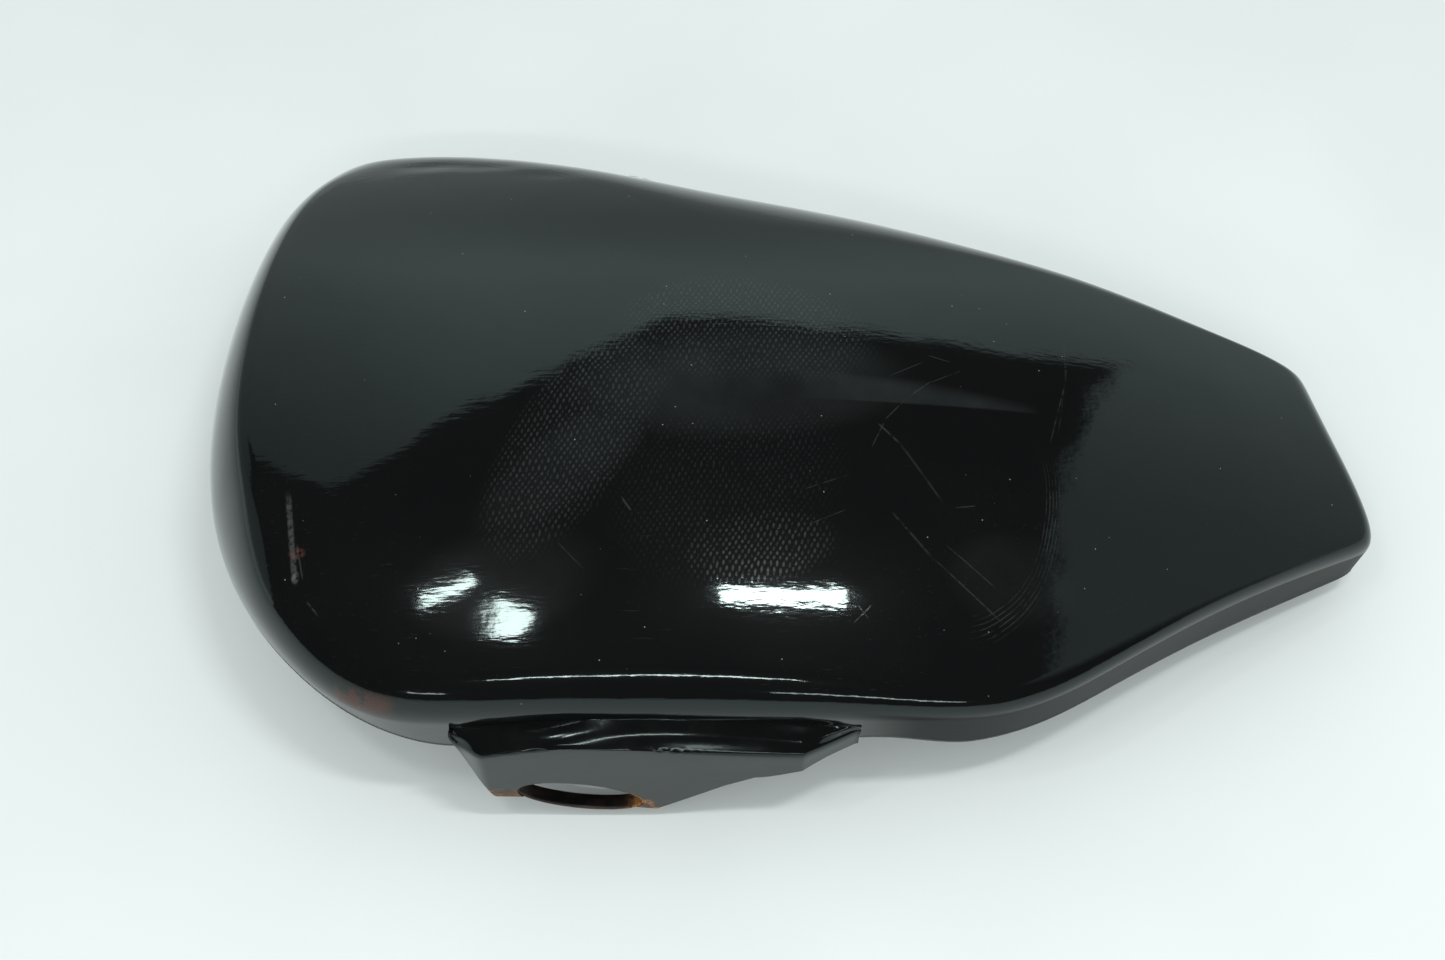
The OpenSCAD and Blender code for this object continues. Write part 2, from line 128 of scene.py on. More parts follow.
class Shell:
    """The shell's rings at any number of columns, in millimetres."""

    def __init__(self, columns):
        u = np.arange(columns) * SIDES / columns
        self.belts = belt(u)
        step = belt(u + 0.05)[:, :2] - belt(u - 0.05 + SIDES)[:, :2]
        step /= np.linalg.norm(step, axis=1)[:, None]
        self.normals = np.stack([step[:, 1], -step[:, 0]], 1)
        self.belts[:, :2] -= self.normals * SHY

    def edge(self, t):
        return self.belts[:, :2] - self.normals * t

    def rays(self, t, inset):
        e = self.edge(t)
        v = e - CENTRE
        return e - v / np.linalg.norm(v, axis=1)[:, None] * np.reshape(inset, (-1, 1))

    def face(self, t, s):
        p = CENTRE + (self.rays(t, self.belts[:, 2] - t) - CENTRE) * s
        return np.column_stack([p, crown(p) - t])

    def roll(self, t, a):
        rh, rv = self.belts[:, 2] - t, self.belts[:, 3] - t
        power = 2 / (ROLL_POWER - NOSE_SLANT * ease((-225 - self.belts[:, 0]) / 35))
        p = self.rays(t, rh * (1 - math.sin(a) ** power))
        drop = rv * (1 - max(math.cos(a), 0.0) ** power)
        return np.column_stack([p, crown(p) - t - drop])

    def foot_height(self):
        return tunnel(self.belts[:, :2]) + SHEET

    def wall(self, t, s):
        top = crown(self.edge(t)) - self.belts[:, 3]
        z = top + (self.foot_height() - top) * s
        whole = crown(self.edge(0)) - self.belts[:, 3]
        draft = WALL_DRAFT * ease((-16 - self.belts[:, 1]) / 60)
        p = self.edge(t) - self.normals * (draft * (whole - z))[:, None]
        return np.column_stack([p, z])


def seated(p, t):
    """The flat seat pressed round the filler."""
    v = p - FILLER
    out = v @ FILLER_AXIS
    across = np.linalg.norm(np.cross(v, FILLER_AXIS), axis=1)
    pull = (out + t) * (1 - ease((across - SEAT_R) / SEAT_BLEND))
    return p - np.where(out < -60, 0, pull)[:, None] * FILLER_AXIS


def stacked(rings, first=None, last=None, closed=False):
    """Points and faces of rings joined in order, fanned to a point at either end."""
    n = len(rings[0])
    points = np.concatenate(rings)
    count = len(rings)
    faces = []
    for r in range(count if closed else count - 1):
        a, b = r * n, (r + 1) % count * n
        faces += [(a + i, a + (i + 1) % n, b + (i + 1) % n, b + i) for i in range(n)]
    for tip, base in ((first, 0), (last, (count - 1) * n)):
        if tip is None:
            continue
        points = np.vstack([points, tip])
        top = len(points) - 1
        if base:
            faces += [(base + i, base + (i + 1) % n, top) for i in range(n)]
        else:
            faces += [((i + 1) % n, i, top) for i in range(n)]
    return points, faces


def build(name, points, faces, body, material, stands_for=(), crease=40):
    mesh = bpy.data.meshes.new(name)
    mesh.from_pydata((np.asarray(points) * MM).tolist(), [], faces)
    mesh.validate()
    mesh.polygons.foreach_set("use_smooth", [True] * len(mesh.polygons))
    mesh.set_sharp_from_angle(angle=math.radians(crease))
    mesh.materials.append(material)
    obj = bpy.data.objects.new(name, mesh)
    bpy.context.scene.collection.objects.link(obj)
    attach(obj, body)
    if stands_for:
        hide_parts(*stands_for)
    return obj


def recalc(obj):
    """Turns every face of a closed piece outward."""
    bm = bmesh.new()
    bm.from_mesh(obj.data)
    bmesh.ops.recalc_face_normals(bm, faces=bm.faces)
    bm.to_mesh(obj.data)
    bm.free()
    obj.data.update()


def dress(node, material, bevel=0.0, crease=32):
    """Gives a CAD node its finish, soft edges and smooth shading."""
    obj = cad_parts[node]
    obj.data.materials.clear()
    obj.data.materials.append(material)
    for poly in obj.data.polygons:
        poly.material_index = 0
        poly.use_smooth = True
    weld = obj.modifiers.new("weld", "WELD")
    weld.merge_threshold = 0.00001
    if bevel:
        soft = obj.modifiers.new("bevel", "BEVEL")
        soft.width = bevel * MM
        soft.segments = 2
        soft.limit_method = "ANGLE"
        soft.angle_limit = math.radians(crease)
        soft.harden_normals = True
    flat = obj.modifiers.new("normals", "WEIGHTED_NORMAL")
    flat.keep_sharp = True


def at_filler(points):
    """Places points given in the filler's own frame, where z runs out of the neck."""
    points = np.asarray(points, float)
    x = np.array([math.cos(FILLER_TURN), math.sin(FILLER_TURN), 0.0])
    y = np.array([0.0, 0.0, -1.0])
    return FILLER + points[..., :1] * x + points[..., 1:2] * y + points[..., 2:3] * FILLER_AXIS


def bead(name, path, radius, body, material, closed=True, ripple=0.14, seed=3):
    """A weld bead: a thin rippled rod that follows a path, painted like what it joins."""
    path = np.asarray(path, float)
    rng = np.random.default_rng(seed)
    ahead = np.roll(path, -1, 0) - np.roll(path, 1, 0)
    if not closed:
        ahead[0], ahead[-1] = path[1] - path[0], path[-1] - path[-2]
    ahead /= np.linalg.norm(ahead, axis=1)[:, None]
    up = np.tile([0.0, 0.0, 1.0], (len(path), 1))
    steep = np.abs(ahead[:, 2]) > 0.9
    up[steep] = [1.0, 0.0, 0.0]
    side = np.cross(ahead, up)
    side /= np.linalg.norm(side, axis=1)[:, None]
    up = np.cross(side, ahead)
    run = np.concatenate([[0], np.cumsum(np.linalg.norm(np.diff(path, axis=0), axis=1))])
    wobble = np.interp(run, np.linspace(0, run[-1], 40), rng.uniform(-0.08, 0.08, 40))
    size = radius * (1 + wobble + ripple * np.sin(2 * np.pi * run / BEAD_PITCH))
    if not closed:
        size *= np.clip(np.minimum(run, run[-1] - run) / (2 * radius), 0.05, 1)
    rings = []
    for k in range(len(path)):
        a = np.arange(10) * 2 * np.pi / 10
        rings.append(path[k] + size[k] * (np.cos(a)[:, None] * side[k] + np.sin(a)[:, None] * up[k]))
    points, faces = stacked(rings, None if closed else path[0], None if closed else path[-1], closed)
    obj = build(name, points, faces, body, material, crease=60)
    recalc(obj)


# ---------------------------------------------------------------- shader writing


class Wire:
    """A shader socket that Python's own operators work on."""

    def __init__(self, graph, socket):
        self.graph, self.socket = graph, socket

    def _math(self, operation, a, b=0.0, clamp=False):
        return self.graph.add("ShaderNodeMath", {"operation": operation, "use_clamp": clamp},
                              {0: a, 1: b})

    def __add__(self, other):
        return self._math("ADD", self, other)

    def __radd__(self, other):
        return self._math("ADD", other, self)

    def __sub__(self, other):
        return self._math("SUBTRACT", self, other)

    def __rsub__(self, other):
        return self._math("SUBTRACT", other, self)

    def __mul__(self, other):
        return self._math("MULTIPLY", self, other)

    def __rmul__(self, other):
        return self._math("MULTIPLY", other, self)

    def __truediv__(self, other):
        return self._math("DIVIDE", self, other)

    def __rtruediv__(self, other):
        return self._math("DIVIDE", other, self)

    def __pow__(self, other):
        return self._math("POWER", self, other)

    def __neg__(self):
        return self._math("MULTIPLY", self, -1.0)

    def __abs__(self):
        return self._math("ABSOLUTE", self)

    def clip(self):
        return self._math("ADD", self, 0.0, clamp=True)

    def least(self, other):
        return self._math("MINIMUM", self, other)

    def most(self, other):
        return self._math("MAXIMUM", self, other)

    def sine(self):
        return self._math("SINE", self)

    def from_to(self, low, high):
        """0 below low, 1 above high, and smooth between; low may be the greater."""
        return self.graph.add("ShaderNodeMapRange", {"interpolation_type": "SMOOTHSTEP"},
                              {"Value": self, "From Min": low, "From Max": high,
                               "To Min": 0.0, "To Max": 1.0})


CHALKY = {"IOR": 1.15, "Coat Weight": 0.0, "Roughness": 0.38}


class Graph:
    """Adds nodes to a material's or a world's tree."""

    def __init__(self, owner):
        owner.use_nodes = True
        self.tree = owner.node_tree
        self.tree.nodes.clear()

    def add(self, kind, settings=None, sockets=None, out=0):
        node = self.tree.nodes.new(kind)
        for key, value in (settings or {}).items():
            setattr(node, key, value)
        for key, value in (sockets or {}).items():
            if isinstance(value, Wire):
                self.tree.links.new(value.socket, node.inputs[key])
            elif isinstance(value, (tuple, list, Vector)) or hasattr(value, "__len__"):
                value = tuple(value)
                want = len(node.inputs[key].default_value)
                node.inputs[key].default_value = value + (1.0,) * (want - len(value))
            else:
                node.inputs[key].default_value = value
        return Wire(self, node.outputs[out]) if node.outputs else None

    def place(self):
        """Position on the part, in millimetres."""
        coords = self.add("ShaderNodeTexCoord", out="Object")
        return self.add("ShaderNodeVectorMath", {"operation": "SCALE"},
                        {0: coords, "Scale": 1000.0})

    def axes(self, vector):
        node = self.add("ShaderNodeSeparateXYZ", None, {0: vector}).socket.node
        return [Wire(self, s) for s in node.outputs]

    def noise(self, vector, scale, detail=2.0, rough=0.5):
        return self.add("ShaderNodeTexNoise", {"noise_dimensions": "3D"},
                        {"Vector": vector, "Scale": scale, "Detail": detail, "Roughness": rough})

    def stretch(self, vector, by, turn=(0.0, 0.0, 0.0)):
        return self.add("ShaderNodeMapping", None,
                        {"Vector": vector, "Rotation": turn, "Scale": by})

    def blend(self, mask, low, high):
        """A colour between low and high."""
        return self.add("ShaderNodeMix", {"data_type": "RGBA"}, {0: mask, 6: low, 7: high}, out=2)

    def bump(self, height, distance, under=None):
        sockets = {"Height": height, "Distance": distance, "Strength": 1.0}
        if under is not None:
            sockets["Normal"] = under
        return self.add("ShaderNodeBump", None, sockets)

    def surface(self, dull=None, **sockets):
        """Closes a material; underscores stand for spaces. Where dull is 1 the paint is chalky."""
        named = {key.replace("_", " "): value for key, value in sockets.items()}
        shader = self.add("ShaderNodeBsdfPrincipled", None, named)
        if dull is not None:
            chalky = self.add("ShaderNodeBsdfPrincipled", None, {**named, **CHALKY})
            shader = self.add("ShaderNodeMixShader", None, {0: dull, 1: shader, 2: chalky})
        self.add("ShaderNodeOutputMaterial", None, {"Surface": shader})

    def near_line(self, x, y, a, b, width):
        """1 on the straight stroke from a to b, fading over its width and at its ends."""
        (ax, ay), (bx, by) = a, b
        length = math.hypot(bx - ax, by - ay)
        ux, uy = (bx - ax) / length, (by - ay) / length
        along = (x - ax) * ux + (y - ay) * uy
        across = abs((x - ax) * -uy + (y - ay) * ux)
        ends = along.from_to(0.0, length * 0.2) * along.from_to(length, length * 0.8)
        return across.from_to(width, width * 0.3) * ends

    def patch(self, x, y, centre, radii, turn=0.0):
        """1 at the middle of an oval on the part, falling to 0 at its edge."""
        c, s = math.cos(turn), math.sin(turn)
        dx, dy = x - centre[0], y - centre[1]
        u = (dx * c + dy * s) / radii[0]
        v = (dy * c - dx * s) / radii[1]
        return (u * u + v * v).from_to(1.0, 0.1)


FINISHES = {}


def finish(name):
    """The named finish, made the first time that it is asked for."""
    if name not in FINISHES:
        material = bpy.data.materials.new(name)
        MAKERS[name](Graph(material), bpy.context.scene.tank_finish)
        FINISHES[name] = material
    return FINISHES[name]


def cloth_print(g, p, x, y):
    """Where a polishing cloth has left its knit in the wax, and how strongly."""
    ragged = (g.noise(p, 0.07, 4.0, 0.65) - 0.5) * 0.9
    area = (g.patch(x, y, (-20.0, 6.0), (72.0, 42.0), -0.08) * 0.85).most(
        g.patch(x, y, (-92.0, -50.0), (80.0, 33.0), 1.03)).most(
        g.patch(x, y, (-16.0, -100.0), (42.0, 20.0), 0.2) * 0.9).most(
        g.patch(x, y, (-28.0, -68.0), (78.0, 56.0), 0.7) * 0.45)
    bare = g.patch(x, y, (-20.0, -31.0), (52.0, 16.0), 0.12)
    area = ((area + ragged * area).from_to(0.06, 0.6) * area.least(1.0) * (1 - 0.85 * bare)).clip()
    warp = g.noise(p, 0.06, 3.0) * 14.0
    across = x * 0.883 - y * 0.469
    along = x * 0.469 + y * 0.883
    columns = (across * 2.9 + warp).sine() * 0.5 + 0.5
    stitches = (along * 2.25 + across * 1.3 - warp).sine() * 0.5 + 0.5
    knit = (columns * (0.3 + 0.7 * stitches)).from_to(0.22, 0.8)
    return area, knit * g.noise(p, 0.4, 3.0, 0.7).from_to(0.3, 0.62)


def handling_marks(g, p, x, y):
    """Scratches and rubs on the side: 1 where the paint is marked."""
    du, dv = (x - 66.0) / 45.0, (y + 62.0) / 66.0
    loop = (du * du + dv * dv) ** 0.5
    wander = g.noise(p, 0.03, 2.0) * 0.05
    strands = ((loop + wander) * 190.0).sine().from_to(0.55, 1.0)
    ring = (loop.from_to(0.93, 0.98) * loop.from_to(1.16, 1.08)
            * x.from_to(70.0, 84.0) * y.from_to(-40.0, -78.0))
    marks = strands * ring * (0.35 + 0.65 * g.noise(p, 0.06, 3.0, 0.6).from_to(0.38, 0.58)) * 0.6
    for a, b, width, depth in (
            ((40, -81), (58, -101), 0.7, 0.45), ((56, -99), (88, -126), 0.45, 0.6),
            ((36, -40), (46, -50), 0.6, 0.7), ((44, -47), (64, -77), 0.7, 0.35),
            ((62, -93), (86, -112), 0.4, 0.5), ((68, -77.5), (78, -75.5), 0.35, 0.6),
            ((23, -130), (32, -121), 0.4, 0.8), ((25, -122), (30, -128), 0.35, 0.6),
            ((33, -53), (40, -38), 0.35, 0.5), ((39, -39), (50, -26), 0.35, 0.6),
            ((49, -27), (62, -15), 0.3, 0.6), ((60, -17), (77, -7), 0.3, 0.5),
            ((41, -16), (59, -5), 0.3, 0.5), ((60, -1), (72, -4), 0.3, 0.7),
            ((126, 18), (124, -8), 0.4, 0.4), ((124, -6), (113, -42), 0.4, 0.5),
            ((128, 14), (117, -38), 0.3, 0.3), ((22, -82), (5, -90), 0.3, 0.5),
            ((24, -66), (2, -75), 0.3, 0.45), ((-74, -80), (-69, -87), 0.6, 0.6),
            ((-100, -100), (-88, -112), 0.35, 0.4), ((-204, -121), (-198, -128), 0.5, 0.7),
            ((-210, -96), (-206, -113), 0.5, 0.6), ((-150, 52), (-96, 66), 0.25, 0.2)):
        marks = marks.most(g.near_line(x, y, a, b, width) * depth)
    worn = g.noise(p, 0.22, 4.0, 0.65).from_to(0.34, 0.56)
    # Hair scratches from wiping, which run in long shallow sweeps.
    hairs = g.noise(g.stretch(p, (0.05, 1.6, 1.6), (0.0, 0.0, 0.5)), 1.0, 2.0).from_to(0.68, 0.74)
    hairs = hairs.most(g.noise(g.stretch(p, (1.7, 0.05, 1.6), (0.0, 0.0, -0.4)), 1.0, 2.0)
                       .from_to(0.70, 0.76))
    low = y.from_to(-20.0, -80.0) * g.noise(p, 0.02, 2.0).from_to(0.4, 0.6)
    return (marks * worn).most(hairs * low * 0.22).clip()


def gloss_black_paint(g, look):
    p = g.place()
    x, y, z = g.axes(p)
    area, knit = cloth_print(g, p, x, y)
    # Clouds of dried wax, and one long wipe with a hard lower edge.
    cloudy = g.noise(p, 0.022, 4.0, 0.6).from_to(0.3, 0.7)
    wipe_low = (y + 31.0 - (x - 20.0) * 0.045).from_to(0.0, 1.6)
    wipe_top = (y + 9.0 + (x - 20.0) * 0.13).from_to(0.0, -9.0)
    wipe = wipe_low * wipe_top * x.from_to(-30.0, 15.0) * x.from_to(111.0, 103.0)
    # The last oval, round the left lamp's highlight, is partly wax haze and partly a painted halo: it
    # lightens the colour there as well as thickening the coat.
    haze_and_halo = (g.patch(x, y, (-96.0, -64.0), (58.0, 20.0), 0.72) * 0.35).most(
        g.patch(x, y, (-22.0, -22.0), (84.0, 34.0), 0.1) * 0.65).most(
        g.patch(x, y, (92.0, -106.0), (34.0, 24.0)) * 0.25).most(
        g.patch(x, y, (-122.0, -116.0), (48.0, 26.0), 0.2) * 0.3).most(wipe * 0.85)
    haze_and_halo = (haze_and_halo * (0.55 + 0.6 * cloudy)).most(cloudy * 0.04)
    film_and_halo = (haze_and_halo * 0.6 + area * (0.03 + 0.85 * knit)).clip()
    # Fine dust specks.
    cells = g.add("ShaderNodeTexVoronoi", {"feature": "F1"},
                  {"Vector": p, "Scale": 0.16, "Randomness": 1.0}).socket.node.outputs
    chance = g.axes(Wire(g, cells["Color"]))[0]
    specks = Wire(g, cells["Distance"]).from_to(0.06, 0.02) * chance.from_to(0.70, 0.78)
    marks = handling_marks(g, p, x, y)
    scuff = (g.near_line(x, y, (-216.0, -72.0), (-209.0, -116.0), 1.7) * 0.5).most(
        g.patch(x, y, (-209.5, -111.0), (2.0, 3.2)) * 0.9) \
        * g.noise(p, 0.5, 4.0, 0.7).from_to(0.32, 0.60)
    earth = g.patch(x, y, (-182.0, -157.0), (22.0, 8.0)) * z.from_to(88.0, 82.0) \
        * z.from_to(68.0, 78.0) * g.noise(p, 0.16, 5.0, 0.65).from_to(0.34, 0.54)
    red_spot = g.patch(x, y, (-209.5, -101.0), (4.4, 3.2)) \
        * g.noise(p, 0.4, 3.0).from_to(0.40, 0.55)
    rusty = (earth * 0.75).most(red_spot * 0.6).clip()
    # The colour goes towards the wax film's; round the left highlight this lighter colour is a painted
    # halo.
    colour = g.blend(film_and_halo, look.paint, look.wax_film)
    colour = g.blend((specks * 0.9).most(marks * 0.12).most(scuff * 0.3).clip(), colour, look.dust)
    colour = g.blend(rusty * 0.8, colour, look.red_earth)
    rough = (0.05 + film_and_halo * 0.07 + marks * 0.10 + scuff * 0.3 + rusty * 0.5).clip()
    # The wall below the tail's lower edge never gets polished.
    along, across = x - CROWN_X, y - CROWN_Y
    fold = CROWN_HEIGHT - TAIL_ROLL - FALL_ALONG * along * along - FALL_ACROSS * across * across
    below = (z - fold).from_to(1.5, -1.5)
    chalky = below * x.from_to(15.0, 55.0) * y.from_to(-40.0, -60.0)
    # Long ripples of the sheet, the paint's orange peel and the fine lines of polishing.
    normal = g.bump(g.noise(p, 0.028, 1.0, 0.4), look.ripple)
    normal = g.bump(g.noise(p, 0.19, 2.0, 0.5), look.peel, normal)
    lines = g.noise(g.stretch(p, (0.11, 0.5, 0.5), (0.0, 0.0, -0.12)), 1.0, 2.0, 0.5)
    normal = g.bump(lines, look.polish, normal)
    normal = g.bump(knit * area - marks * 0.4 - scuff, 0.000010, normal)
    g.surface(Base_Color=colour, Roughness=rough, Metallic=0.0, IOR=1.44, Normal=normal,
              dull=chalky, Specular_Tint=(0.80, 1.0, 0.96), Coat_Weight=(0.04 + film_and_halo * 0.4).clip(),
              Coat_Roughness=0.3, Coat_IOR=1.4)


def bracket_paint(g, look):
    p = g.place()
    x, _, z = g.axes(p)
    patchy = g.noise(p, 0.05, 5.0, 0.6)
    fine = g.noise(p, 0.6, 3.0, 0.6)
    brown_left = g.patch(x, z, (-127.0, 24.0), (13.0, 8.0), -0.1)
    orange_right = g.patch(x, z, (-64.5, 12.5), (4.5, 6.5)).most(
        g.patch(x, z, (-60.0, 7.6), (9.0, 2.2)))
    edge = (z + 0.24 * (x + 60.0)).from_to(9.5, 7.5) * x.from_to(-52.0, -66.0) * 0.8
    rust = (brown_left.most(orange_right).most(edge) * fine.from_to(0.34, 0.56)).clip()
    tone = g.noise(p, 0.22, 3.0)
    rust_colour = g.blend(tone.from_to(0.35, 0.65), look.rust, look.old_rust)
    rust_colour = g.blend(orange_right * tone.from_to(0.6, 0.4), rust_colour, look.orange_rust)
    colour = g.blend(patchy.from_to(0.45, 0.75) * 0.12, look.paint, look.wax_film)
    colour = g.blend(rust, colour, rust_colour)
    rough = 0.06 + patchy * 0.10 + rust * 0.5
    ripple = g.noise(p, 0.045, 2.0, 0.5)
    normal = g.bump(ripple, 0.00007)
    normal = g.bump(g.noise(p, 0.25, 2.0), look.peel * 2.2, normal)
    normal = g.bump(rust * fine, 0.00012, normal)
    g.surface(Base_Color=colour, Roughness=rough.clip(), Metallic=0.0, IOR=1.41, Normal=normal,
              Specular_Tint=(0.80, 1.0, 0.96))


def rusty_lip(g, look):
    p = g.place()
    x, y, _ = g.axes(p)
    fine = g.noise(p, 0.5, 4.0, 0.65)
    broad = g.noise(p, 0.12, 3.0)
    rim = y.from_to(-173.4, -174.3)
    tip = x.from_to(-76.0, -68.0) * 0.9
    rust = (rim * 0.7 + tip + 0.12 * broad.from_to(0.5, 0.6)).clip() * fine.from_to(0.3, 0.5)
    colour = g.blend((tip * broad.from_to(0.3, 0.5)).clip(), look.old_rust, look.orange_rust)
    colour = g.blend(rust.clip(), look.paint, colour)
    normal = g.bump(fine, 0.00012)
    g.surface(Base_Color=colour, Roughness=(0.3 + rust * 0.45).clip(), Metallic=0.0,
              Normal=normal)


def inner_paint(g, look):
    p = g.place()
    spray = g.noise(p, 0.9, 4.0, 0.7)
    broad = g.noise(p, 0.02, 4.0, 0.6)
    dusty = broad.from_to(0.42, 0.7)
    colour = g.blend(dusty * 0.5, look.inner_paint, look.wax_film)
    colour = g.blend(spray.from_to(0.58, 0.72) * 0.4, colour, look.dust)
    rub = g.noise(p, 0.06, 5.0, 0.7).from_to(0.62, 0.72)
    colour = g.blend(rub * 0.6, colour, look.old_rust)
    normal = g.bump(spray, 0.00005)
    g.surface(Base_Color=colour, Roughness=(0.38 + dusty * 0.25 + rub * 0.2).clip(), Normal=normal)


def zinc_steel(g, look):
    p = g.place()
    cloud = g.noise(p, 0.1, 4.0, 0.6)
    grain = g.noise(g.stretch(p, (1, 1, 6)), 0.5, 3.0, 0.7)
    stain = cloud.from_to(0.5, 0.72)
    colour = g.blend(stain, look.steel, (0.30, 0.27, 0.22))
    normal = g.bump(grain, 0.00002)
    g.surface(Base_Color=colour, Metallic=1.0, Roughness=(0.28 + stain * 0.25 + grain * 0.1).clip(),
              Normal=normal)


def cap_chrome(g, look):
    p = g.place()
    pits = g.noise(p, 0.8, 4.0, 0.7).from_to(0.64, 0.72)
    cloud = g.noise(p, 0.09, 3.0)
    colour = g.blend(pits * 0.5, look.chrome, look.old_rust)
    normal = g.bump(g.noise(p, 0.15, 2.0), 0.00003)
    g.surface(Base_Color=colour, Metallic=1.0, Roughness=(0.07 + cloud * 0.08 + pits * 0.4).clip(),
              Normal=normal)


def valve_brass(g, look):
    p = g.place()
    cloud = g.noise(p, 0.3, 4.0, 0.6).from_to(0.4, 0.7)
    colour = g.blend(cloud, (0.62, 0.45, 0.18), (0.30, 0.20, 0.08))
    g.surface(Base_Color=colour, Metallic=1.0, Roughness=(0.25 + cloud * 0.3).clip(),
              Normal=g.bump(cloud, 0.00002))


def black_rubber(g, look):
    p = g.place()
    mould = g.noise(p, 0.9, 3.0, 0.6)
    bloom = g.noise(p, 0.08, 4.0, 0.6).from_to(0.45, 0.75)
    colour = g.blend(bloom * 0.6, look.rubber, look.wax_film)
    g.surface(Base_Color=colour, Roughness=(0.62 + bloom * 0.2).clip(), IOR=1.45,
              Normal=g.bump(mould, 0.00004))


def pale_floor(g, look):
    p = g.place()
    tone = g.noise(p, 0.004, 3.0)
    grain = g.noise(p, 0.12, 3.0)
    light = bpy.context.scene.tank_studio
    low = tuple(0.96 * c for c in light.floor)
    colour = g.blend(tone.from_to(0.35, 0.65), low, light.floor)
    g.surface(Base_Color=colour, Roughness=0.75, Specular_IOR_Level=0.2,
              Normal=g.bump(grain, 0.00003))


MAKERS = {f.__name__: f for f in (gloss_black_paint, bracket_paint, rusty_lip, inner_paint,
                                  zinc_steel, cap_chrome, valve_brass, black_rubber, pale_floor)}


# ---------------------------------------------------------------- settings


class TankShape(PropertyGroup):
    """Fineness and small shapes of the visible pieces."""
    columns: IntProperty(name="Columns", description="Divisions round the shell",
                         default=384, min=96, max=768)
    dent_depth: FloatProperty(name="Dent depth", description="Depth of the knock near the filler side",
                              default=0.0008, unit="LENGTH")
    seam_radius: FloatProperty(name="Seam bead", description="Radius of the weld along the seam",
                               default=0.0009, unit="LENGTH")


class TankFinish(PropertyGroup):
    """Colours and surface of the finishes."""
    paint: FloatVectorProperty(name="Paint", description="Gloss black outside paint",
                               subtype="COLOR", default=(0.0045, 0.0048, 0.0050))
    inner_paint: FloatVectorProperty(name="Inner paint", description="Thin black paint inside the tunnel",
                                     subtype="COLOR", default=(0.012, 0.012, 0.0125))
    wax_film: FloatVectorProperty(name="Wax film", description="Dried polish on the paint",
                                  subtype="COLOR", default=(0.028, 0.0325, 0.032))
    dust: FloatVectorProperty(name="Dust", description="Dust specks and scratch edges",
                              subtype="COLOR", default=(0.30, 0.31, 0.30))
    rust: FloatVectorProperty(name="Rust", description="Fresh rust",
                              subtype="COLOR", default=(0.25, 0.085, 0.022))
    red_earth: FloatVectorProperty(name="Red earth", description="Dark stain by the front seam",
                                   subtype="COLOR", default=(0.10, 0.028, 0.018))
    orange_rust: FloatVectorProperty(name="Orange rust", description="Bright rust at the tip",
                                     subtype="COLOR", default=(0.42, 0.17, 0.035))
    old_rust: FloatVectorProperty(name="Old rust", description="Dark old rust",
                                  subtype="COLOR", default=(0.085, 0.042, 0.022))
    steel: FloatVectorProperty(name="Zinc steel", description="Zinc-plated fittings",
                               subtype="COLOR", default=(0.58, 0.58, 0.57))
    chrome: FloatVectorProperty(name="Chrome", description="Chromed filler cap",
                                subtype="COLOR", default=(0.80, 0.80, 0.81))
    rubber: FloatVectorProperty(name="Rubber", description="Gasket, liner and pads",
                                subtype="COLOR", default=(0.018, 0.018, 0.018))
    ripple: FloatProperty(name="Ripple", description="Height of the sheet's long ripples",
                          default=0.0004, unit="LENGTH", precision=6)
    peel: FloatProperty(name="Orange peel", description="Height of the paint's orange peel",
                        default=0.000014, unit="LENGTH", precision=6)
    polish: FloatProperty(name="Polish lines", description="Height of the fine lines of polishing",
                          default=0.000030, unit="LENGTH", precision=6)


class TankStudio(PropertyGroup):
    """The floor, the lamps and the camera."""
    floor: FloatVectorProperty(name="Floor", description="Pale floor", subtype="COLOR",
                               default=(0.86, 0.93, 0.92))
    soft_light: FloatProperty(name="Soft light", description="Even light from all round",
                              default=0.73, min=0.0)
    lamp_power: FloatProperty(name="Lamp power", description="Power of the main lamp, in watts",
                              default=5.0, min=0.0)
    lens: FloatProperty(name="Lens", description="Focal length of the camera, in mm",
                        default=44.84)


# ---------------------------------------------------------------- pieces


def shell_rings(shell, t, faces, rolls, walls):
    rings = [seated(shell.face(t, (k + 1) / faces), t) for k in range(faces)]
    rings += [seated(shell.roll(t, math.pi / 2 * (k + 1) / rolls), t) for k in range(rolls)]
    rings += [seated(shell.wall(t, (k + 1) / walls), t) for k in range(walls)]
    return rings


def pulled(points, centre, reach, push):
    """Moves the points near a centre by a vector, softly."""
    away = np.linalg.norm((points - centre) / reach, axis=1)
    return points + (1 - ease(away))[:, None] * push


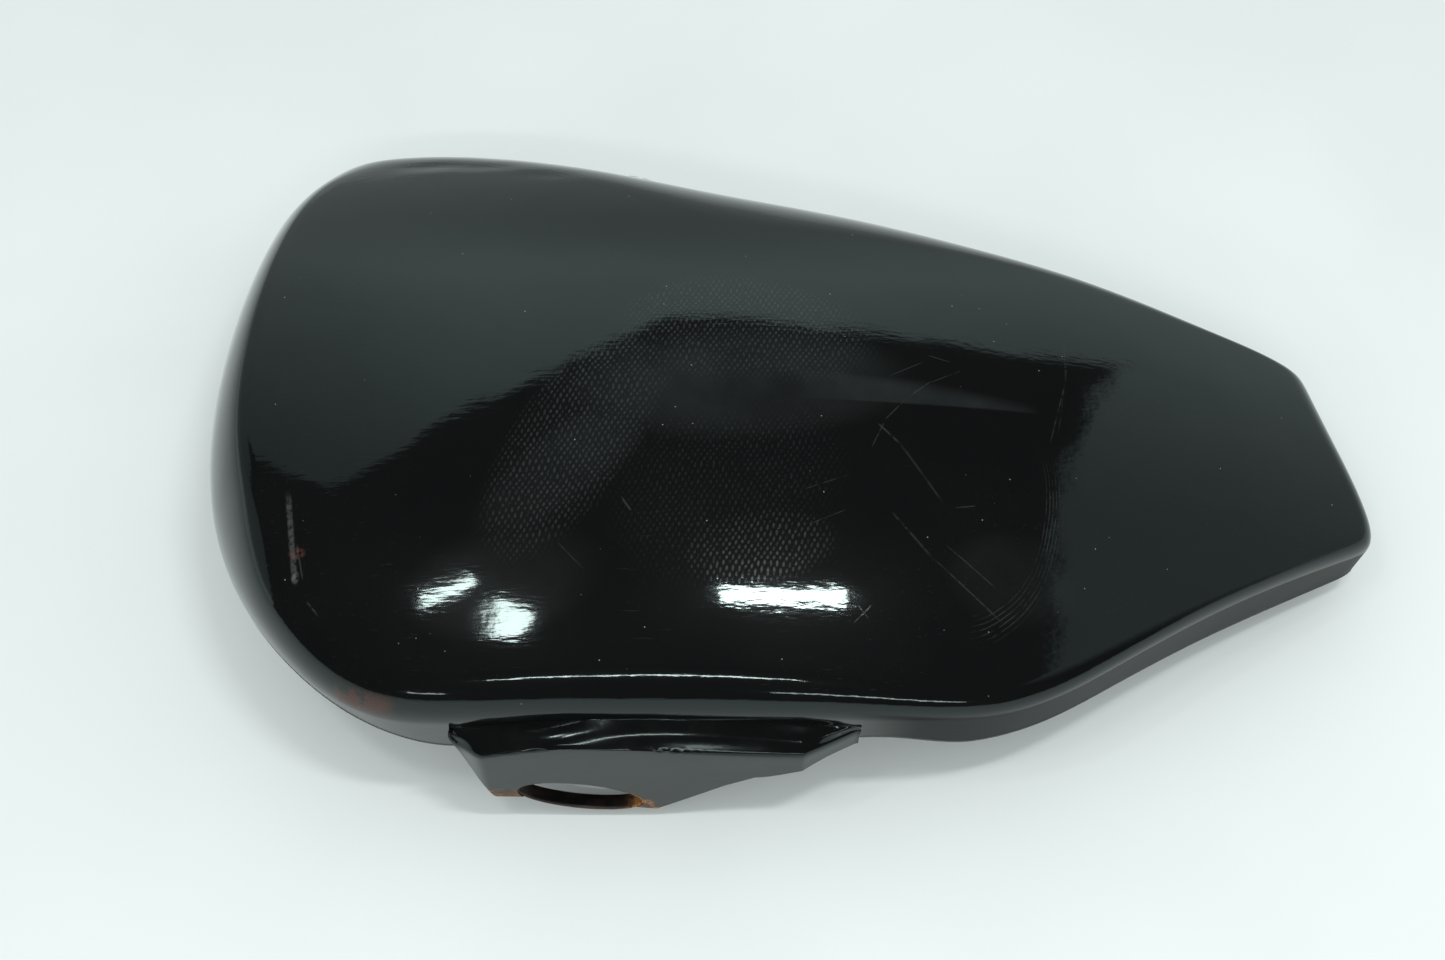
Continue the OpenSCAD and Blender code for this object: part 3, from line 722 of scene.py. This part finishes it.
class TANK_OT_outer_skin(Operator):
    """Outer skin: the pressed side of the tank, with its rolled edge and drafted wall"""
    bl_idname = "tank.outer_skin"
    bl_label = "Outer Skin"

    def execute(self, context):
        shape = context.scene.tank_shape
        shell = Shell(shape.columns)
        outer = shell_rings(shell, 0.0, 44, 26, 10)
        inner = shell_rings(shell, SHEET, 12, 8, 4)
        rim = outer[-1] * 0.5 + inner[-1] * 0.5
        rings = outer + [rim] + inner[::-1]
        points, faces = stacked(rings, [*CENTRE, crown(CENTRE)], [*CENTRE, crown(CENTRE) - SHEET])
        deep = shape.dent_depth / MM
        for centre, reach, push in (((-176, 136, 87), (30, 7, 12), (0, -0.5, -0.6)),
                                    ((-146, 132, 90), (30, 6, 10), (0, -0.3, -0.5)),
                                    ((-112, 121, 96), (26, 7, 10), (0, -0.3, -0.35))):
            points = pulled(points, np.array(centre, float), np.array(reach, float),
                            deep * np.array(push, float))
        points, faces = self.drill(points, faces)
        obj = build("tank_outer_skin", points, faces, "shell", finish("gloss_black_paint"),
                    ("outer_skin",), crease=50)
        recalc(obj)
        return {"FINISHED"}

    def drill(self, points, faces):
        """Opens the round hole under the filler neck."""
        v = points - FILLER
        out = v @ FILLER_AXIS
        flat = v - out[:, None] * FILLER_AXIS
        away = np.linalg.norm(flat, axis=1)
        inside = (away < NECK_HOLE_R) & (np.abs(out) < NECK_HOLE_REACH)
        kept = [f for f in faces if not all(inside[list(f)])]
        push = np.where(inside, NECK_HOLE_R / np.maximum(away, 1e-6), 1.0)
        points = FILLER + out[:, None] * FILLER_AXIS + flat * push[:, None]
        return points, kept


class TANK_OT_inner_wall(Operator):
    """Inner wall: flat at the top, stepped in to form the half tunnel, and welded at its rim"""
    bl_idname = "tank.inner_wall"
    bl_label = "Inner Wall"

    def rings(self, shell, lift, count):
        foot = seated(shell.wall(0.0, 1.0), 0.0)[:, :2]
        rim = foot - shell.normals * PAN_RIM
        edge_z = shell.foot_height() - SHEET
        gap = edge_z - tunnel(rim)
        rings = []
        for k in range(1, count + 1):
            s = k / count
            p = CENTRE + (rim - CENTRE) * s
            rings.append(np.column_stack([p, tunnel(p) + gap * s ** 6 + lift]))
        return rings + [np.column_stack([foot, edge_z + lift])]

    def execute(self, context):
        shell = Shell(context.scene.tank_shape.columns)
        over = self.rings(shell, SHEET, 40)
        under = self.rings(shell, 0.0, 40)
        mid = float(tunnel(CENTRE))
        points, faces = stacked(over + under[::-1], [*CENTRE, mid + SHEET], [*CENTRE, mid])
        obj = build("tank_inner_wall", points, faces, "shell", finish("inner_paint"),
                    ("inner_pan",), crease=50)
        recalc(obj)
        foot = seated(shell.wall(0.0, 1.0), 0.0)
        radius = context.scene.tank_shape.seam_radius / MM
        inward = shell.normals * (radius - 0.1)
        seam = np.column_stack([foot[:, :2] - inward, foot[:, 2] - SHEET + radius + 0.3])
        dense = np.linspace(0, len(seam), 1600, endpoint=False)
        i = dense.astype(int)
        f = (dense - i)[:, None]
        seam = seam[i] * (1 - f) + seam[(i + 1) % len(seam)] * f
        bead("seam_weld", seam, radius, "shell", finish("inner_paint"))
        return {"FINISHED"}


def oval(grow, count):
    """Points round the collar's oval, as x and z on the bracket's web."""
    a = np.arange(count) * 2 * math.pi / count
    u, v = (SLOT_LONG + grow) * np.cos(a), (SLOT_HIGH + grow) * np.sin(a)
    c, s = math.cos(SLOT_TILT), math.sin(SLOT_TILT)
    return SLOT_AT + np.column_stack([u * c + v * s, v * c - u * s])


def under_wall(x, z):
    """The underside wall's y at a place along the bracket, from the stations along it."""
    u = np.arange(16, 25, 0.01)
    line = belt(u)
    order = np.argsort(line[:, 0])
    y = np.interp(x, line[order, 0], line[order, 1])
    rv = np.interp(x, line[order, 0], line[order, 3])
    top = crown(np.stack([x, y], -1)) - rv
    return y + WALL_DRAFT * np.maximum(0, top - z)


def bracket_line(x, t):
    """Cross-section of the bracket at x, from its welded edge round the fold to its foot."""
    stand = BRACKET_OUT * np.clip((26 - x) / 23, 0, 1) * (0.35 + 0.65 * ease((x + 145) / 14))
    weld = 75.5 - 11 * ease(np.abs(x + 72) / 95)
    low = np.select(
        [x < -130, x < -118, x < -60, x < -30, x < -17],
        [62 - 40 * (x + 145) / 15, 22 - (x + 130) / 24, 21.5 - 14 * (x + 118) / 58,
         7.5 + 23.5 * (x + 60) / 30, 31 + 7.7 * (x + 30) / 13],
        38.7 + 9 * ease((x + 17) / 34))
    shelf = np.where(x > -95, 70 - 11 * ease((x + 95) / 110), 70 - 10 * ease((-95 - x) / 55))
    shelf = np.maximum(shelf, low + 4)
    base = under_wall(x, weld) + SHY / 2
    web = base - stand - 0.25
    lift = t if t > 0 else 0
    return np.stack([
        np.stack([x, base - 0.25, weld - lift], -1),
        np.stack([x, (base + web) / 2 - 0.1, (weld + shelf) / 2 + 1.2 - t], -1),
        np.stack([x, web + 1.5 + t * 0.4, shelf + 1.4 - t], -1),
        np.stack([x, web + 0.4 + t * 0.8, shelf - t * 0.2], -1),
        np.stack([x, web + t, shelf - 2.5], -1),
        np.stack([x, web + t, (shelf - 2.5 + low) / 2], -1),
        np.stack([x, web + t, low + 0 * x], -1)], 0)


def through(points, times):
    """A smooth line through points given along the first axis."""
    n = len(points)
    out = []
    for k in range(n - 1):
        a, b, c, d = (points[min(max(k + j, 0), n - 1)] for j in (-1, 0, 1, 2))
        for i in range(times):
            f = i / times
            out.append(0.5 * (2 * b + (c - a) * f + (2 * a - 5 * b + 4 * c - d) * f ** 2
                              + (3 * b - a - 3 * c + d) * f ** 3))
    out.append(points[-1])
    return np.array(out)


def even(lines, count):
    """Spaces each column's points evenly along its own line."""
    run = np.concatenate([np.zeros((1, lines.shape[1])),
                          np.cumsum(np.linalg.norm(np.diff(lines, axis=0), axis=2), 0)])
    out = np.empty((count, *lines.shape[1:]))
    for c in range(lines.shape[1]):
        at = np.linspace(0, run[-1, c], count)
        for axis in range(3):
            out[:, c, axis] = np.interp(at, run[:, c], lines[:, c, axis])
    return out


def open_slot(points, faces, grow):
    """Opens the oval hole in the bracket's web and draws the edge round it."""
    c, s = math.cos(SLOT_TILT), math.sin(SLOT_TILT)
    dx, dz = points[:, 0] - SLOT_AT[0], points[:, 2] - SLOT_AT[1]
    u, v = dx * c - dz * s, dx * s + dz * c
    away = np.hypot(u / (SLOT_LONG + grow), v / (SLOT_HIGH + grow))
    inside = (away < 1) & (points[:, 1] < -158)
    kept = [f for f in faces if not all(inside[list(f)])]
    push = np.where(inside, 1 / np.maximum(away, 1e-6), 1.0)
    u, v = u * push, v * push
    moved = points.copy()
    moved[:, 0] = SLOT_AT[0] + u * c + v * s
    moved[:, 2] = SLOT_AT[1] + v * c - u * s
    return np.where(inside[:, None], moved, points), kept


class TANK_OT_bracket(Operator):
    """Underside bracket with its weld bead and the lipped oval hole"""
    bl_idname = "tank.bracket"
    bl_label = "Underside Bracket"

    def execute(self, context):
        xs = np.linspace(*BRACKET_ENDS, 200)
        outer = even(through(bracket_line(xs, 0.0), 8), 64)
        inner = even(through(bracket_line(xs, BRACKET_SHEET), 8), 64)
        sheet = np.concatenate([outer, inner[::-1]])
        rings = list(sheet.transpose(1, 0, 2))
        points, faces = stacked(rings)
        n = len(rings[0])
        last = (len(rings) - 1) * n
        faces += [(k, k + 1, n - 2 - k, n - 1 - k) for k in range(n // 2 - 1)]
        faces += [(last + n - 1 - k, last + n - 2 - k, last + k + 1, last + k)
                  for k in range(n // 2 - 1)]
        points, faces = open_slot(points, faces, LIP_WALL - 0.3)
        edge = np.concatenate([outer[::-1, 0][:42], outer[0], outer[:42, -1]])
        bead("bracket_weld", edge + np.array([0.0, 0.5, -0.5]), 0.7, "shell",
             finish("bracket_paint"), closed=False, ripple=0.05, seed=8)
        obj = build("underside_bracket", points, faces, "shell", finish("bracket_paint"),
                    ("mount_bracket",), crease=45)
        recalc(obj)
        self.collar()
        return {"FINISHED"}

    def collar(self):
        """Lip pressed inward round the hole, with a rolled front edge."""
        profile = [(LIP_WALL, LIP_DEPTH), (LIP_WALL, 3.0), (LIP_WALL, 1.2), (LIP_WALL - 0.12, 0.6),
                   (LIP_WALL - 0.4, 0.2), (LIP_WALL - 0.8, 0.02), (0.5, 0.12), (0.2, 0.5),
                   (0.05, 1.1), (0.0, 2.0), (0.0, 4.0), (0.0, LIP_DEPTH - 0.4),
                   (0.2, LIP_DEPTH - 0.1), (0.8, LIP_DEPTH)]
        rings = []
        for grow, deep in profile:
            line = oval(grow, 144)
            rings.append(np.column_stack([line[:, 0], np.full(144, COLLAR_Y + deep), line[:, 1]]))
        points, faces = stacked(rings, closed=True)
        obj = build("bracket_lip", points, faces, "shell", finish("rusty_lip"),
                    ("mount_collar",), crease=60)
        recalc(obj)


class TANK_OT_filler(Operator):
    """Filler neck with its weld bead and the cap's gasket"""
    bl_idname = "tank.filler"
    bl_label = "Filler Neck"

    def execute(self, context):
        dress("filler_neck", finish("zinc_steel"), 0.3)
        dress("cap_gasket", finish("black_rubber"), 0.3)
        a = np.linspace(0, 2 * math.pi, 480, endpoint=False)
        ring = at_filler(np.column_stack([24.0 * np.cos(a), 24.0 * np.sin(a), np.full(480, 0.7)]))
        bead("filler_weld", ring, 0.9, "shell", finish("gloss_black_paint"), seed=5)
        return {"FINISHED"}


class TANK_OT_cap(Operator):
    """Chromed filler cap with its plug and vent valve"""
    bl_idname = "tank.cap"
    bl_label = "Filler Cap"

    def execute(self, context):
        seat = CAP_SEAT
        profile = [(3.0, seat + 1.4), (3.4, seat + 0.2), (4.0, seat), (21.2, seat), (21.6, seat + 0.1),
                   (22.1, seat + 0.6), (22.4, seat + 1.3), (22.5, seat + 2.2), (22.5, seat + 3.4),
                   (22.35, seat + 4.2), (21.9, seat + 5.0), (21.1, seat + 5.9), (19.9, seat + 6.6),
                   (18.4, seat + 7.1), (16.8, seat + 7.35), (15.6, seat + 7.4), (15.2, seat + 7.25),
                   (14.8, seat + 7.05), (14.4, seat + 7.05), (14.0, seat + 7.25), (13.6, seat + 7.45),
                   (10.5, seat + 7.7), (7.0, seat + 7.88), (3.0, seat + 7.97)]
        count = SCALLOPS * 18
        a = np.arange(count) * 2 * math.pi / count
        dip = np.clip((np.cos(SCALLOPS * a) - 0.15) / 0.85, 0, 1)
        dip = dip * dip * (3 - 2 * dip)
        rings = []
        for rad, z in profile:
            bite = 1.0 * dip * ease(np.array((rad - 18.2) / 3.2)) * ease(np.array((z - seat + 1.0) / 1.5))
            rr = rad - bite
            rings.append(at_filler(np.column_stack([rr * np.cos(a), rr * np.sin(a), np.full(count, z)])))
        points, faces = stacked(rings, at_filler([0, 0, seat + 1.4]), at_filler([0, 0, seat + 8.0]))
        obj = build("filler_cap", points, faces, "cap", finish("cap_chrome"), ("cap_shell",), crease=38)
        recalc(obj)
        dress("cap_plug", finish("zinc_steel"), 0.3)
        dress("vent_retainer", finish("zinc_steel"), 0.2)
        dress("vent_disc", finish("valve_brass"), 0.2)
        dress("vent_spring", finish("zinc_steel"), 0.0, 60)
        return {"FINISHED"}


class TANK_OT_fittings(Operator):
    """Vent pipe, nipple, bung, boss, baffle and front cup, with their weld beads"""
    bl_idname = "tank.fittings"
    bl_label = "Fittings"

    def execute(self, context):
        for node, soft in (("vent_pipe", 0.0), ("crossover_nipple", 0.2), ("outlet_bung", 0.5),
                           ("rear_boss", 0.4), ("baffle_plate", 0.2)):
            dress(node, finish("zinc_steel"), soft)
        dress("front_cup", finish("inner_paint"), 0.5)
        around = np.linspace(0, 2 * math.pi, 300, endpoint=False)
        circle = np.column_stack([np.cos(around), np.sin(around)])
        for name, centre, radius, rise in (("bung_weld", (62, -112), 15.3, -0.35),
                                           ("boss_weld", (196, -52), 8.3, -0.35),
                                           ("vent_weld", (12, -96), 7.3, -0.3),
                                           ("crossover_weld", (-118, -118), 4.3, -0.3)):
            ring = np.array(centre) + circle * radius
            path = np.column_stack([ring, tunnel(ring) + rise])
            bead(name, path, 1.0, "shell", finish("inner_paint"), seed=len(name))
        return {"FINISHED"}


class TANK_OT_rubbers(Operator):
    """Rubber liner of the front cup, the tunnel pads and the rear washer"""
    bl_idname = "tank.rubbers"
    bl_label = "Rubbers"

    def execute(self, context):
        dress("front_cup_liner", finish("black_rubber"), 0.4)
        dress("rear_boss_washer", finish("black_rubber"), 0.4)
        dress("tunnel_pads", finish("black_rubber"), 0.8)
        return {"FINISHED"}


def facing(back, turn):
    """Turn of a lamp whose back looks along a vector and whose width starts along x."""
    z = back.normalized()
    x = (Vector((1, 0, 0)) - z * z.x).normalized()
    x = x * math.cos(turn) + z.cross(x) * math.sin(turn)
    return Matrix((x, z.cross(x), z)).transposed().to_euler()


class TANK_OT_stage(Operator):
    """Pale floor, soft light, lamps and camera"""
    bl_idname = "tank.stage"
    bl_label = "Stage"

    def execute(self, context):
        scene = context.scene
        light = scene.tank_studio
        half, low = 4.0, -0.0003
        mesh = bpy.data.meshes.new("floor")
        mesh.from_pydata([(-half, -half, low), (half, -half, low), (half, half, low),
                          (-half, half, low)], [], [(0, 1, 2, 3)])
        mesh.materials.append(finish("pale_floor"))
        floor = bpy.data.objects.new("floor", mesh)
        scene.collection.objects.link(floor)
        self.world(scene, light)
        for name, at, aim, size, turn, power in (
                ("key_lamp", (0.255, -0.230, 1.267), (-0.006, -0.121, 0.104), (0.265, 0.064), 2, 0.64),
                ("left_lamp", (-0.465, -0.213, 1.267), (-0.145, -0.119, 0.106), (0.14, 0.04), 28, 0.13),
                ("slim_lamp", (-0.333, -0.328, 1.267), (-0.119, -0.130, 0.104), (0.06, 0.11), -14, 0.14),
                ("front_strip", (-0.04, -1.02, 1.066), (-0.043, -0.153, 0.094), (0.62, 0.04), 0, 0.45),
                ("low_right", (0.36, -1.25, 0.45), (0.050, -0.158, 0.080), (0.46, 0.05), 0, 0.16),
                ("low_left", (-0.51, -1.25, 0.40), (-0.155, -0.160, 0.088), (0.20, 0.06), 0, 0.06)):
            data = bpy.data.lights.new(name, "AREA")
            data.shape, data.size, data.size_y = "RECTANGLE", *size
            data.energy = light.lamp_power * power
            lamp = bpy.data.objects.new(name, data)
            lamp.location = at
            lamp.rotation_euler = facing(Vector(at) - Vector(aim), math.radians(turn))
            scene.collection.objects.link(lamp)
        data = bpy.data.cameras.new("camera")
        data.lens, data.sensor_width = light.lens, 36.0
        data.clip_start, data.clip_end = 0.01, 50.0
        camera = bpy.data.objects.new("camera", data)
        aim = Vector((-0.031, 0.004, 0.0))
        rise = math.radians(57)
        camera.location = aim + 0.9 * Vector((0, -math.cos(rise), math.sin(rise)))
        camera.rotation_euler = (math.pi / 2 - rise, 0, 0)
        scene.collection.objects.link(camera)
        scene.camera = camera
        scene.view_settings.view_transform = "Standard"
        return {"FINISHED"}

    def world(self, scene, light):
        """A pale studio behind and beside the tank, and a dark room over it."""
        world = bpy.data.worlds.new("studio")
        scene.world = world
        world.cycles.sampling_method = "NONE"
        g = Graph(world)
        way = g.add("ShaderNodeTexCoord", out="Generated")
        x, y, z = g.axes(way)
        # Each pale wall is a range of directions, with an edge that is this soft.
        soft = 0.012
        right = x.from_to(0.57 - soft, 0.57 + soft) * y.from_to(-0.5, -0.2)
        back = (y + 0.14 * (x - 0.1).most(0.0)).from_to(0.74 - soft, 0.74 + soft)
        left = (y - 1.12 * x).from_to(0.71 - soft, 0.71 + soft) \
            .least((y + 0.94 * x).from_to(-0.155 - soft, -0.155 + soft))
        side = (-x - 0.75 * (0.3 - y).most(0.0)).from_to(0.59 - soft, 0.59 + soft)
        pale = right.most(back).most(left).most(side)
        fall = 1 - 0.5 * x.from_to(-0.15, -0.55) - 0.28 * x.from_to(0.15, 0.55)
        glow = (0.62 + 0.5 * y.from_to(0.2, 0.8)) * fall * (1 - 0.5 * y.from_to(0.84, 0.97))
        glow = glow.most(z.from_to(0.25, 0.0) * 0.9 * (1 - 0.5 * y.from_to(0.5, 0.9)))
        seen = 0.02 + pale * glow
        path = g.add("ShaderNodeLightPath").socket.node.outputs
        camera, glossy = Wire(g, path["Is Camera Ray"]), Wire(g, path["Is Glossy Ray"])
        level = light.soft_light * (1 - camera) * (1 - glossy) + seen * glossy + 1.0 * camera
        tint = g.blend(glossy, (0.97, 1.0, 0.995), (0.86, 1.0, 0.985))
        back_light = g.add("ShaderNodeBackground", None, {"Color": tint, "Strength": level})
        g.add("ShaderNodeOutputWorld", None, {"Surface": back_light})


class TANK_PT_pieces(Panel):
    """Lists the pieces of the tank"""
    bl_idname = "TANK_PT_pieces"
    bl_label = "Half Fuel Tank"
    bl_space_type = "VIEW_3D"
    bl_region_type = "UI"
    bl_category = "Fuel Tank"

    def draw(self, context):
        layout = self.layout
        for step in STEPS:
            layout.operator(step.bl_idname)
        for group in ("tank_shape", "tank_finish", "tank_studio"):
            box = layout.box()
            owner = getattr(context.scene, group)
            for key in owner.__annotations__:
                box.prop(owner, key)


STEPS = (TANK_OT_stage, TANK_OT_outer_skin, TANK_OT_inner_wall, TANK_OT_bracket, TANK_OT_filler,
         TANK_OT_cap, TANK_OT_fittings, TANK_OT_rubbers)
GROUPS = {"tank_shape": TankShape, "tank_finish": TankFinish, "tank_studio": TankStudio}


def register():
    for cls in (*GROUPS.values(), *STEPS, TANK_PT_pieces):
        bpy.utils.register_class(cls)
    for name, cls in GROUPS.items():
        setattr(bpy.types.Scene, name, PointerProperty(type=cls))


def unregister():
    for name in GROUPS:
        delattr(bpy.types.Scene, name)
    for cls in (TANK_PT_pieces, *reversed(STEPS), *reversed(list(GROUPS.values()))):
        bpy.utils.unregister_class(cls)


def main():
    register()
    for step in STEPS:
        getattr(bpy.ops.tank, step.bl_idname.split(".")[1])()


if __name__ == "__main__":
    main()
